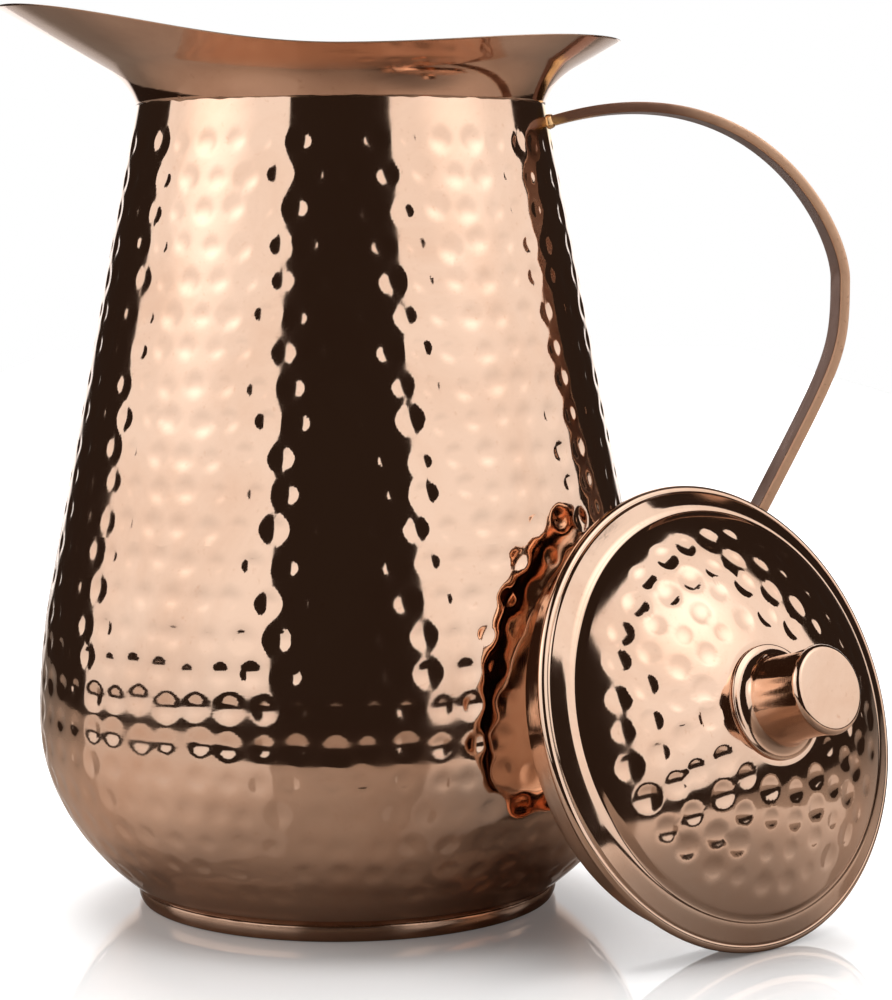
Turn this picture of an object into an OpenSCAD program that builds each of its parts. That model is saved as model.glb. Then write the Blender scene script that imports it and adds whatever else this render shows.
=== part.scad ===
// Copper water jug with a loose lid. Millimetres, +Z up.
// Origin: on the jug's axis, at the face that the foot ring stands on.
// The handle points along +X and the spout along -X. The lid lies off the jug and leans on it.

/* [Body] */
// Outer radius at the widest point of the belly
belly_r = 76.5; // [63.5:0.5:92]
// Height of the widest point
belly_z = 46.5; // [42:0.5:55]
// Radius of the long arc from the belly up into the cone
shoulder_arc_r = 170; // [120:5:220]
// Half-width of the ellipse that rounds the belly under
under_rx = 82; // [70:1:98]
// Half-height of that ellipse
under_rz = 60; // [57:0.5:75]
// Outer radius at the neck
neck_r = 50.3; // [41.5:0.1:60.5]
// Height of the neck crease
neck_z = 197.3; // [164:0.1:240]
// Thickness of the copper sheet
sheet = 1.2; // [0.8:0.1:1.6]

/* [Foot] */
// Height of the foot ring
foot_h = 4.2; // [3:0.1:6]
// Wall of the foot ring
foot_wall = 1.6; // [1.2:0.1:2.4]
// How much narrower the ring is where it stands
foot_taper = 0.9; // [0.2:0.1:2]

/* [Mouth] */
// Lean of the flare from upright where it starts
flare_start = 20; // [10:1:30]
// Lean of the flare from upright where it ends
flare_end = 61; // [50:1:66]
// Radius of the bend between the two
flare_bend_r = 17; // [12:1:24]
// Height of the rim over the neck at the front and back
rim_low = 11.4; // [9:0.2:14]
// Extra height of the rim towards the spout
spout_lift = 12.9; // [8:0.2:16]
// Distance from the axis at which that lift is complete
spout_run = 100; // [90:1:125]
// Extra height of the rim on the handle side
tail_lift = 3.8; // [1:0.2:6]
// Distance from the axis at which that lift is complete
tail_run = 75; // [65:1:95]
// Depth of the collar that laps inside the neck
collar_h = 5; // [3:0.5:10]

/* [Handle] */
// Width of the strap
strap_w = 15; // [10:0.5:22]
// Thickness of the strap
strap_t = 2.5; // [1.8:0.1:4]
// How far below the neck crease the strap's root is
root_drop = 5; // [4:0.5:12]
// Climb of the strap as it leaves the neck
root_climb = 18.3; // [8:0.5:26]
// Distance from the axis to the middle of the strap where it reaches out farthest
reach = 124.3; // [110:0.5:145]
// Height of that point over the strap's lower end
reach_rise = 115.9; // [95:0.5:135]
// Height of the strap's lower end
tail_z = 38; // [32:0.5:48]
// Slope of the strap's lower end, down from level
tail_slope = 64.2; // [55:0.5:75]

/* [Lid] */
// How much wider than the neck the skirt is, so that it seats in the flare
seat_margin = 0.4; // [0.2:0.1:2]
// Depth of the skirt below the rolled edge
skirt_h = 11; // [7:0.2:14]
// How far the rolled edge stands out past the skirt
flange_over = 4.7; // [3.5:0.1:7]
// Radius of the rolled edge
roll_r = 1.3; // [1.2:0.1:2]
// Rise of the flange from the rolled edge to the step
flange_rise = 3.9; // [3:0.1:6]
// Width of the flange from the rolled edge to the step
flange_w = 6.8; // [6:0.1:9]
// Size of the step, both up and in
step = 1.3; // [1:0.1:2]
// Height of the knob's seat above the rolled edge
dome_h = 17.8; // [14:0.2:24]
// Radius of the dome's curve
dome_r = 90; // [75:1:130]
// Radius of the flat seat under the knob
seat_r = 14.5; // [14:0.1:18]
// Thickness of the lid's sheet
lid_sheet = 1.0; // [0.8:0.1:1.4]

/* [Knob] */
// Height of the knob
knob_h = 18.2; // [14:0.2:26]
// Radius of the knob's head
knob_r = 10.4; // [8:0.1:12]
// How much the waist is drawn in
knob_waist = 0.5; // [0.2:0.1:1.5]
// Radius of the lip round the knob's base
knob_lip_r = 13.5; // [12.5:0.1:14]
// Rounding of the head's edge
knob_round = 1.5; // [0.8:0.1:3]
// Radius of the screw's shank
screw_r = 2.5; // [1.5:0.1:3]
// Length of thread inside the knob
screw_grip = 10; // [6:0.5:12]
// Radius of the screw's head
screw_head_r = 4.6; // [4:0.1:5]
// Height of the screw's head
screw_head_h = 2.4; // [1.5:0.1:3]
// Radius of the washer
washer_r = 7.5; // [6:0.1:9]
// Thickness of the washer
washer_t = 1.0; // [0.8:0.1:1.5]

/* [Leaning lid] */
// Lean of the lid back from upright
lean = 17.3; // [12:0.5:25]
// Compass bearing of the way the lid faces, from +X towards +Y
facing = -52.4; // [-65:0.5:-40]
// Bearing of the lid's middle, seen from the jug's axis
lid_bearing = -30.2; // [-45:0.5:-20]
// Gap between the leaning lid and the belly
lean_gap = 0.4; // [0.35:0.05:2]

/* [Joints] */
// Size of the braze fillets
braze = 1.6; // [1:0.1:2.4]
// Gap in lapped and screwed joints
lap_gap = 0.05; // [0.02:0.01:0.1]

/* [Hidden] */
$fn = 96;
polished = [0.93, 0.62, 0.46];
hammered = [0.86, 0.54, 0.38];
brazed = [0.80, 0.58, 0.36];
steel = [0.72, 0.71, 0.70];
under_steps = 14;
shoulder_steps = 5;
curve_steps = 18;
above = 60; // taller than anything that it has to cut off

// ---- Body outline: an ellipse under the belly, a long arc over it, then a cone to the neck ----
shoulder_in = belly_r - shoulder_arc_r;
cone_dr = neck_r - shoulder_in;
cone_dz = neck_z - belly_z;
cone_lean = atan2(cone_dz, cone_dr) - acos(shoulder_arc_r / norm([cone_dr, cone_dz]));
under_sweep = asin((belly_z - foot_h) / under_rz);

function under_point(t) = [belly_r - under_rx * (1 - cos(t)), belly_z - under_rz * sin(t)];
function under_normal(t) =
    let (v = [cos(t) / under_rx, -sin(t) / under_rz]) v / norm(v);
function shoulder_point(a) =
    [shoulder_in + shoulder_arc_r * cos(a), belly_z + shoulder_arc_r * sin(a)];

// The body's skin, set in by d: 0 is its outer face and the sheet's thickness is its inner face
function body_curve(d) = concat(
    [for (i = [0:under_steps])
        let (t = under_sweep * (1 - i / under_steps)) under_point(t) - d * under_normal(t)],
    [for (i = [1:shoulder_steps])
        let (a = cone_lean * i / shoulder_steps) shoulder_point(a) - d * [cos(a), sin(a)]],
    [[neck_r - d / cos(cone_lean), neck_z]]);

foot_top_r = body_curve(0)[0][0];
base_top = body_curve(sheet)[0];
neck_bore_r = neck_r - sheet / cos(cone_lean);

// Outer radius of the body at height z
function body_radius(z) =
    z < belly_z ? belly_r - under_rx * (1 - sqrt(1 - pow(min(1, (belly_z - z) / under_rz), 2)))
    : z < shoulder_point(cone_lean)[1] ? shoulder_in + sqrt(pow(shoulder_arc_r, 2) - pow(z - belly_z, 2))
    : neck_r + (neck_z - z) * tan(cone_lean);

// ---- Mouth outline: an arc, then a straight flare, set in by d ----
bend_h = flare_bend_r * (sin(flare_end) - sin(flare_start));
bend_out = flare_bend_r * (cos(flare_start) - cos(flare_end));
flare_h = rim_low + max(spout_lift, tail_lift) + 6;
function flare_normal(a) = [cos(a), -sin(a)];
function flare_curve(d) = concat(
    [for (i = [0:curve_steps])
        let (a = flare_start + (flare_end - flare_start) * i / curve_steps)
        [neck_r + flare_bend_r * (cos(flare_start) - cos(a)),
         neck_z + flare_bend_r * (sin(a) - sin(flare_start))] - d * flare_normal(a)],
    [[neck_r + bend_out + (flare_h - bend_h) * tan(flare_end), neck_z + flare_h]
        - d * flare_normal(flare_end)]);

// Height of the rim at x: a smooth lift to each side of the axis
function lift(x, height, run) = height * (1 - cos(180 * min(1, x / run))) / 2;
function rim_height(x) = neck_z + rim_low + (x < 0 ? lift(-x, spout_lift, spout_run) : lift(x, tail_lift, tail_run));

collar_r = neck_bore_r - lap_gap;
throat_r = collar_r - sheet;

// ---- Handle: two smooth curves that meet where the strap reaches out farthest ----
root_z = neck_z - root_drop;
root = [body_radius(root_z) - strap_t, root_z];
far = [reach, tail_z + reach_rise];
tail = [body_radius(tail_z) - strap_t / 4, tail_z];
root_pull = 56;
crest_pull = 13.4;
fall_pull = 25.7;
tail_pull = 110;
root_dir = [cos(root_climb), sin(root_climb)];
tail_dir = [cos(tail_slope), sin(tail_slope)];
function bezier(p, u) =
    pow(1 - u, 3) * p[0] + 3 * pow(1 - u, 2) * u * p[1] + 3 * (1 - u) * u * u * p[2] + pow(u, 3) * p[3];
function bezier_dir(p, u) =
    let (v = pow(1 - u, 2) * (p[1] - p[0]) + 2 * (1 - u) * u * (p[2] - p[1]) + u * u * (p[3] - p[2])) v / norm(v);
upper_curve = [root, root + root_pull * root_dir, far + [0, crest_pull], far];
lower_curve = [far, far - [0, fall_pull], tail + tail_pull * tail_dir, tail];
function strap_edge(d) = concat(
    [for (i = [0:curve_steps]) let (u = i / curve_steps, v = bezier_dir(upper_curve, u))
        bezier(upper_curve, u) + d * [-v[1], v[0]]],
    [for (i = [1:curve_steps]) let (u = i / curve_steps, v = bezier_dir(lower_curve, u))
        bezier(lower_curve, u) + d * [-v[1], v[0]]]);

// ---- Lid, in its own frame: w is the height along its axis, from the middle of the rolled edge ----
skirt_r = neck_r + seat_margin;
roll_mid_r = skirt_r + flange_over - roll_r;
step_r = skirt_r + flange_over - flange_w;
dome_edge = [step_r - step, flange_rise + step];
seat_edge = [seat_r, dome_h];
// Middle of the dome's arc, which passes through its edge and the edge of the knob's seat
dome_chord = seat_edge - dome_edge;
dome_mid = (seat_edge + dome_edge) / 2
    - sqrt(pow(dome_r, 2) - pow(norm(dome_chord) / 2, 2)) * [dome_chord[1], -dome_chord[0]] / norm(dome_chord);
dome_from = atan2(dome_edge[1] - dome_mid[1], dome_edge[0] - dome_mid[0]);
dome_to = atan2(seat_edge[1] - dome_mid[1], seat_edge[0] - dome_mid[0]);
function lid_curve(d) = concat(
    [[roll_mid_r, roll_r - d], [step_r + step / 2, flange_rise - d], [step_r, flange_rise - d]],
    [for (i = [0:curve_steps]) let (a = dome_from + (dome_to - dome_from) * i / curve_steps)
        dome_mid + (dome_r - d) * [cos(a), sin(a)]],
    [[screw_r + lap_gap, dome_h - d]]);

// Height of the lid's middle when its rolled edge stands on the floor
lid_z = roll_mid_r * cos(lean) + roll_r;
lid_axis = [cos(lean) * cos(facing), cos(lean) * sin(facing), sin(lean)];
lid_across = [-sin(facing), cos(facing), 0];
lid_up = cross(lid_axis, lid_across);
// Clear distance from the body to a circle on the lid, when the lid's middle is at distance d
function ring_gap(d, r, w) = min([for (t = [0:5:355])
    let (p = [d * cos(lid_bearing), d * sin(lid_bearing), lid_z] + w * lid_axis
        + r * (cos(t) * lid_across + sin(t) * lid_up))
    norm([p[0], p[1]]) - body_radius(max(foot_h, min(neck_z, p[2])))]);
function lid_gap(d) = min(ring_gap(d, skirt_r, -skirt_h), ring_gap(d, roll_mid_r, -roll_r));
// The distance at which the lid just leans on the belly, found by halving
function lean_distance(near, out, n) =
    n == 0 ? out
    : let (mid = (near + out) / 2)
        lid_gap(mid) < lean_gap / cos(cone_lean) ? lean_distance(mid, out, n - 1) : lean_distance(near, mid, n - 1);
lid_d = lean_distance(belly_r, belly_r + 3 * skirt_r, 24);

// ================= Jug =================
module body_solid() {
    rotate_extrude($fn = 720) polygon(concat([[0, foot_h]], body_curve(0), [[0, neck_z]]));
}

module body_shell() {
    inner = body_curve(sheet);
    color(hammered)
        rotate_extrude()
            polygon(concat(body_curve(0), [for (i = [len(inner) - 1:-1:0]) inner[i]]));
}

// Flat bottom, let into the lower edge of the shell
module base_disc() {
    color(polished)
        rotate_extrude()
            polygon([[0, foot_h], [foot_top_r, foot_h], base_top, [0, base_top[1]]]);
}

module foot_ring() {
    color(polished)
        rotate_extrude()
            polygon([
                [foot_top_r - foot_taper, 0], [foot_top_r, foot_h],
                [foot_top_r - foot_wall, foot_h], [foot_top_r - foot_taper - foot_wall, 0]]);
}

// Fillet in the corner between the foot ring and the shell
module foot_braze() {
    leg = braze * 0.6;
    up = asin((belly_z - foot_h - leg) / under_rz);
    color(brazed)
        rotate_extrude()
            polygon([[foot_top_r - foot_taper * leg / foot_h, foot_h - leg], under_point(up), [foot_top_r, foot_h]]);
}

module mouth_flare() {
    inner = flare_curve(sheet);
    wide = neck_r + flare_h * tan(flare_end) + 10;
    color(polished)
        difference() {
            rotate_extrude()
                polygon(concat(
                    [[throat_r, neck_z - collar_h], [collar_r, neck_z - collar_h], [collar_r, neck_z]],
                    flare_curve(0),
                    [for (i = [len(inner) - 1:-1:0]) inner[i]],
                    [[throat_r, inner[0][1]]]));
            rotate([90, 0, 0])
                linear_extrude(2 * wide, center = true)
                    polygon(concat(
                        [for (x = [-wide:4:wide]) [x, rim_height(x)]],
                        [[wide, neck_z + above], [-wide, neck_z + above]]));
        }
}

// Thin fillet in the crease at the neck
module neck_braze() {
    color(brazed)
        rotate_extrude()
            polygon([
                [neck_r + braze * tan(cone_lean), neck_z - braze],
                neck_crease_top(), [neck_r, neck_z]]);
}
function neck_crease_top() = flare_curve(0)[2];

// ================= Handle =================
module strap() {
    inner = strap_edge(-strap_t / 2);
    translate([0, strap_w / 2, 0])
        rotate([90, 0, 0])
            linear_extrude(strap_w)
                polygon(concat(strap_edge(strap_t / 2), [for (i = [len(inner) - 1:-1:0]) inner[i]]));
}

module handle() {
    color(polished)
        difference() {
            strap();
            body_solid();
        }
}

// Collar of braze round one end of the strap; at is on the strap's middle line, turn is its slope there
module strap_braze(at, turn, length) {
    color(brazed)
        difference() {
            translate([at[0], 0, at[1]])
                rotate([0, -turn, 0])
                    cube([length, strap_w + braze, strap_t + braze], center = true);
            strap();
            body_solid();
        }
}

module handle_braze_upper() {
    strap_braze(root, root_climb, 2 * (strap_t + braze));
}

module handle_braze_lower() {
    strap_braze(tail, tail_slope, 4 * (strap_t + braze));
}

// ================= Lid =================
module leaning() {
    translate([lid_d * cos(lid_bearing), lid_d * sin(lid_bearing), lid_z])
        rotate([0, 90 - lean, facing])
            children();
}

module lid_dome() {
    inner = lid_curve(lid_sheet);
    color(hammered)
        leaning()
            rotate_extrude()
                union() {
                    polygon(concat(lid_curve(0), [for (i = [len(inner) - 1:-1:0]) inner[i]]));
                    translate([roll_mid_r, 0]) circle(roll_r, $fn = 48);
                }
}

// Collar under the flange, closed against the underside of the dome
module lid_skirt() {
    color(polished)
        leaning()
            rotate_extrude()
                difference() {
                    translate([skirt_r - lid_sheet, -skirt_h]) square([lid_sheet, skirt_h + flange_rise]);
                    polygon(concat(lid_curve(lid_sheet), [[screw_r, above], [roll_mid_r, above]]));
                }
}

module knob() {
    lip_t = 0.8;
    cove = knob_lip_r - knob_r;
    waist_h = knob_h / 2;
    waist_r = knob_r - knob_waist;
    head_z = knob_h - knob_round;
    color(polished)
        leaning()
            translate([0, 0, dome_h])
                rotate_extrude()
                    polygon(concat(
                        [[screw_r + lap_gap, 0], [knob_lip_r, 0], [knob_lip_r, lip_t]],
                        [for (i = [1:8]) let (a = 90 * i / 8)
                            [knob_lip_r - cove * sin(a), lip_t + cove * (1 - cos(a))]],
                        [for (i = [1:10]) let (u = i / 10, z = lip_t + cove + (head_z - lip_t - cove) * u)
                            [waist_r + knob_waist * pow(2 * u - 1, 2), z]],
                        [for (i = [1:8]) let (a = 90 * i / 8)
                            [knob_r - knob_round * (1 - cos(a)), head_z + knob_round * sin(a)]],
                        [[0, knob_h], [0, screw_grip + 1], [screw_r + lap_gap, screw_grip + 1]]));
}

module knob_washer() {
    color(steel)
        leaning()
            translate([0, 0, dome_h - lid_sheet - washer_t])
                difference() {
                    cylinder(h = washer_t, r = washer_r);
                    translate([0, 0, -1]) cylinder(h = washer_t + 2, r = screw_r + lap_gap);
                }
}

module knob_screw() {
    head_top = dome_h - lid_sheet - washer_t;
    slot_w = 1;
    color(steel)
        leaning()
            difference() {
                union() {
                    translate([0, 0, head_top - screw_head_h]) cylinder(h = screw_head_h, r = screw_head_r);
                    translate([0, 0, head_top - 0.5])
                        cylinder(h = 0.5 + washer_t + lid_sheet + screw_grip, r = screw_r);
                }
                translate([0, 0, head_top - screw_head_h])
                    cube([3 * screw_head_r, slot_w, screw_head_h], center = true);
            }
}

body_shell();
base_disc();
foot_ring();
foot_braze();
mouth_flare();
neck_braze();
handle();
handle_braze_upper();
handle_braze_lower();
lid_dome();
lid_skirt();
knob();
knob_washer();
knob_screw();
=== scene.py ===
import math

import bmesh
import bpy
import numpy as np
from mathutils import Matrix, Vector


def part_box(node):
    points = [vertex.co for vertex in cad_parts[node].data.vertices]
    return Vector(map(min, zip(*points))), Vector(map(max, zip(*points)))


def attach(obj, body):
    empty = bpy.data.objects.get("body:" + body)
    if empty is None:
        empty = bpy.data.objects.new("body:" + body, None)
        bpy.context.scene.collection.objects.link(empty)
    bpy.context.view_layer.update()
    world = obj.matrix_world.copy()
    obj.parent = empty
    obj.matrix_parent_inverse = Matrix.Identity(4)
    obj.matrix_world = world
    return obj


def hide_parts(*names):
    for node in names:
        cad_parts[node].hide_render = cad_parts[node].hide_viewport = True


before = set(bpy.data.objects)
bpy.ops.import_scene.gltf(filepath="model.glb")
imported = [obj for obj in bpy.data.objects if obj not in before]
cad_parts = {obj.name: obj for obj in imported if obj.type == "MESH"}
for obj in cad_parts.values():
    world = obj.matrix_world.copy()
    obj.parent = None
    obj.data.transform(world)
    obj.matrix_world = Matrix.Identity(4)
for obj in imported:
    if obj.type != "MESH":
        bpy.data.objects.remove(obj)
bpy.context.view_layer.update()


# ---- Camera and studio -------------------------------------------------------------------
# A long lens at jug height, looking a little down. Two tall soft boxes stand to the left and
# right of it with a dark gap between them, and a white sweep fills the space behind.
camera_at = Vector((0.0, -0.6856, 0.1663))
camera_turn = math.radians(2.12)  # towards the handle
camera_down = math.radians(5.58)
camera_roll = math.radians(-0.29)
camera_lens = 99.0


def make_camera():
    camera = bpy.data.cameras.new("camera")
    camera.lens = camera_lens
    camera.sensor_width = 36
    camera.clip_end = 20
    seat = bpy.data.objects.new("camera", camera)
    upright = Matrix.Rotation(math.radians(90) - camera_down, 4, "X")
    seat.matrix_world = (
        Matrix.Translation(camera_at)
        @ Matrix.Rotation(-camera_turn, 4, "Z")
        @ upright
        @ Matrix.Rotation(camera_roll, 4, "Z")
    )
    bpy.context.collection.objects.link(seat)
    bpy.context.scene.camera = seat


def fill(tree, value, socket):
    """Sets a socket from a number, or joins it to another socket."""
    if isinstance(value, (bool, int, float, tuple)):
        socket.default_value = value
    elif value is not None:
        tree.links.new(value, socket)


def sums(tree, operation, a, b=None, c=None, clamp=False):
    node = tree.nodes.new("ShaderNodeMath")
    node.operation = operation
    node.use_clamp = clamp
    for socket, value in zip(node.inputs, (a, b, c)):
        fill(tree, value, socket)
    return node.outputs["Value"]


def vectors(tree, operation, a, b=None, scale=None, output="Vector"):
    node = tree.nodes.new("ShaderNodeVectorMath")
    node.operation = operation
    fill(tree, a, node.inputs[0])
    fill(tree, b, node.inputs[1])
    if scale is not None:
        fill(tree, scale, node.inputs["Scale"])
    return node.outputs[output]


def spread(tree, value, low, high, to_low, to_high, kind="LINEAR"):
    span = tree.nodes.new("ShaderNodeMapRange")
    span.interpolation_type = kind
    for label, number in zip(("From Min", "From Max", "To Min", "To Max"), (low, high, to_low, to_high)):
        fill(tree, number, span.inputs[label])
    fill(tree, value, span.inputs["Value"])
    return span.outputs["Result"]


def split(tree, vector, axis):
    parts = tree.nodes.new("ShaderNodeSeparateXYZ")
    fill(tree, vector, parts.inputs["Vector"])
    return parts.outputs[axis]


def blend(tree, a, b, factor):
    """A colour that goes from a to b as factor goes from 0 to 1."""
    mix = tree.nodes.new("ShaderNodeMix")
    mix.data_type = "RGBA"
    for label, value in (("A", a), ("B", b), ("Factor", factor)):
        fill(tree, value, mix.inputs[label])
    return mix.outputs["Result"]


def soft_box(name, bearing, distance, bottom, width, tall, roll, glow, core, core_at):
    """A tall diffuser facing the jug. Bearing is its direction from the jug, from +X towards +Y.
    The cloth glows evenly, with a brighter core at core_at, across and up from 0 to 1."""
    light = bpy.data.lights.new(name, "AREA")
    light.shape = "RECTANGLE"
    light.size = width
    light.size_y = tall
    light.energy = math.pi * width * tall  # a radiance of one, before the cloth
    light.use_nodes = True
    tree = light.node_tree
    place = tree.nodes.new("ShaderNodeNewGeometry").outputs["Parametric"]
    foot = spread(tree, split(tree, place, "Y"), 0, 0.18, 0.80, 1)
    away = vectors(tree, "DISTANCE", place, (*core_at, 0), output="Value")
    level = spread(tree, away, 0, 0.36, core, glow, "SMOOTHERSTEP")
    fill(tree, sums(tree, "MULTIPLY", level, foot), tree.nodes["Emission"].inputs["Strength"])
    lamp = bpy.data.objects.new(name, light)
    angle = math.radians(bearing)
    lamp.location = (distance * math.cos(angle), distance * math.sin(angle), bottom + tall / 2)
    lamp.rotation_euler = (
        Matrix.Rotation(angle + math.radians(90), 3, "Z")
        @ Matrix.Rotation(math.radians(90), 3, "X")
        @ Matrix.Rotation(math.radians(roll), 3, "Z")
    ).to_euler()
    lamp.visible_camera = False
    bpy.context.collection.objects.link(lamp)


def floor_lamp(name, place, size, power):
    """A lamp over the floor, which the metal doesn't mirror."""
    light = bpy.data.lights.new(name, "AREA")
    light.shape = "DISK"
    light.size = size
    light.energy = power
    lamp = bpy.data.objects.new(name, light)
    lamp.location = place
    lamp.visible_camera = False
    lamp.visible_glossy = False
    bpy.context.collection.objects.link(lamp)


def make_world():
    """White behind the jug, dark and warm in front, where the studio is unlit."""
    world = bpy.data.worlds.new("studio")
    bpy.context.scene.world = world
    world.use_nodes = True
    tree = world.node_tree
    tree.nodes.clear()
    where = tree.nodes.new("ShaderNodeTexCoord").outputs["Generated"]
    behind = spread(tree, split(tree, where, "Y"), 0.90, 0.94, 0, 1, "SMOOTHSTEP")
    seen = tree.nodes.new("ShaderNodeBackground")
    room = tree.nodes.new("ShaderNodeBackground")
    seen.inputs["Color"].default_value = (1, 1, 1, 1)
    wall = blend(tree, (0.024, 0.016, 0.012, 1), (1.25, 1.25, 1.25, 1), behind)
    fill(tree, wall, room.inputs["Color"])
    pick = tree.nodes.new("ShaderNodeMixShader")
    camera_ray = tree.nodes.new("ShaderNodeLightPath").outputs["Is Camera Ray"]
    choice = (camera_ray, room.outputs["Background"], seen.outputs["Background"])
    for socket, value in zip(pick.inputs, choice):
        fill(tree, value, socket)
    fill(tree, pick.outputs["Shader"], tree.nodes.new("ShaderNodeOutputWorld").inputs["Surface"])


def make_floor():
    """Glossy white acrylic table top. Its front edge is 0.3 m before the jug, a little askew."""
    left, right, back_edge = -0.41, 0.55, 3.2
    corners = [(left, -0.31, 0), (right, -0.28, 0), (right, back_edge, 0), (left, back_edge, 0)]
    top = bpy.data.meshes.new("floor")
    top.from_pydata(corners, [], [(0, 1, 2, 3)])
    floor = bpy.data.objects.new("floor", top)
    bpy.context.collection.objects.link(floor)
    acrylic = bpy.data.materials.new("white_acrylic")
    acrylic.use_nodes = True
    tree = acrylic.node_tree
    shader = tree.nodes["Principled BSDF"]
    camera_ray = tree.nodes.new("ShaderNodeLightPath").outputs["Is Camera Ray"]
    spot = tree.nodes.new("ShaderNodeTexCoord").outputs["Object"]
    # Painted shade: to every ray but a camera ray the floor is dimmer and warmer than the white the camera
    # sees, and darker still towards the back
    back = spread(tree, split(tree, spot, "Y"), -0.05, 0.35, 0, 1)
    painted_bounce = blend(tree, (0.28, 0.23, 0.195, 1), (0.12, 0.105, 0.09, 1), back)
    # Painted shadow of the lid: the lid keeps the light off the floor near it, so there the floor seen in
    # reflections is darker still
    near_lid = vectors(tree, "DISTANCE", spot, (0.14, -0.11, 0), output="Value")
    shade = spread(tree, near_lid, 0.02, 0.15, 0.42, 1.0, "SMOOTHSTEP")
    dimmed = vectors(tree, "SCALE", painted_bounce, scale=shade)
    tone = blend(tree, dimmed, (0.95, 0.95, 0.95, 1), camera_ray)
    fill(tree, tone, shader.inputs["Base Color"])
    # Painted glow: to camera rays the floor gives off a little light of its own, which lightens the shadows
    # on it
    fill(tree, sums(tree, "MULTIPLY", camera_ray, 0.07), shader.inputs["Emission Strength"])
    shader.inputs["Roughness"].default_value = 0.035
    shader.inputs["IOR"].default_value = 1.45
    floor.data.materials.append(acrylic)


bpy.context.scene.view_settings.view_transform = "Standard"
make_camera()
make_world()
make_floor()
soft_box("left_box", -159, 0.70, 0.015, 1.20, 1.22, 4, 0.98, 1.75, (0.45, 0.48))
soft_box("right_box", -23, 0.70, 0.062, 1.20, 1.18, 6, 0.98, 1.65, (0.5, 0.50))
soft_box("back_box", 90, 1.20, 0.55, 1.00, 0.80, 0, 0.9, 1.0, (0.5, 0.5))
floor_lamp("over_jug", (0.0, 0.3, 2.4), 2.4, 64)
floor_lamp("over_back", (0.0, 3.2, 2.4), 3.5, 260)


# ---- Body shell ----------------------------------------------------------------------------
# Copper sheet raised to a bulging belly and a straight cone, then planished all over with a
# round hammer in level rows. The marks are about 8 mm apart and the sheet is 1.2 mm thick.
def shader_group(name, inputs, outputs):
    """An empty shader group. Inputs are (name, kind, default or None) and outputs (name, kind)."""
    group = bpy.data.node_groups.new(name, "ShaderNodeTree")
    for label, kind, start in inputs:
        socket = group.interface.new_socket(label, in_out="INPUT", socket_type=kind)
        if start is not None:
            socket.default_value = start
    for label, kind in outputs:
        group.interface.new_socket(label, in_out="OUTPUT", socket_type=kind)
    return group, group.nodes.new("NodeGroupInput").outputs, group.nodes.new("NodeGroupOutput").inputs


def noise(tree, vector, scale, detail, rough=0.5, distortion=0.0):
    texture = tree.nodes.new("ShaderNodeTexNoise")
    values = {"Scale": scale, "Detail": detail, "Roughness": rough, "Distortion": distortion}
    for label, number in values.items():
        fill(tree, number, texture.inputs[label])
    fill(tree, vector, texture.inputs["Vector"])
    return texture.outputs["Fac"]


def make_tarnish_group():
    """Clouds and freckles of tarnish: a mask from 0, bright, to 1, dull."""
    group, given, made = shader_group(
        "tarnish",
        [
            ("Vector", "NodeSocketVector", None),
            ("Clouds", "NodeSocketFloat", 1.0),
            ("Freckles", "NodeSocketFloat", 1.0),
        ],
        [("Mask", "NodeSocketFloat")],
    )
    clouds = spread(group, noise(group, given["Vector"], 26, 6, 0.62, 0.7), 0.40, 0.80, 0, 1)
    freckles = spread(group, noise(group, given["Vector"], 700, 3, 0.6), 0.62, 0.80, 0, 0.7)
    clouds = sums(group, "MULTIPLY", clouds, given["Clouds"])
    freckles = sums(group, "MULTIPLY", freckles, given["Freckles"])
    fill(group, sums(group, "ADD", clouds, freckles, clamp=True), made["Mask"])
    return group


def make_polish_group():
    """What the mop leaves: fine drawn lines and a slow waviness, as a height in 0.1 mm."""
    group, given, made = shader_group(
        "mop_lines",
        [
            ("Vector", "NodeSocketVector", None),
            ("Stretch", "NodeSocketVector", (1, 1, 30)),
            ("Lines", "NodeSocketFloat", 1.0),
            ("Waves", "NodeSocketFloat", 1.0),
        ],
        [("Height", "NodeSocketFloat")],
    )
    drawn = vectors(group, "MULTIPLY", given["Vector"], given["Stretch"])
    lines = sums(group, "MULTIPLY", noise(group, drawn, 90, 4, 0.7), given["Lines"])
    waves = sums(group, "MULTIPLY", noise(group, given["Vector"], 70, 2, 0.4), given["Waves"])
    fill(group, sums(group, "ADD", lines, waves), made["Height"])
    return group


tarnish_group = make_tarnish_group()
polish_group = make_polish_group()
dull_copper = (0.72, 0.40, 0.25)
copper = ((0.915, 0.640, 0.480), dull_copper)


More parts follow.
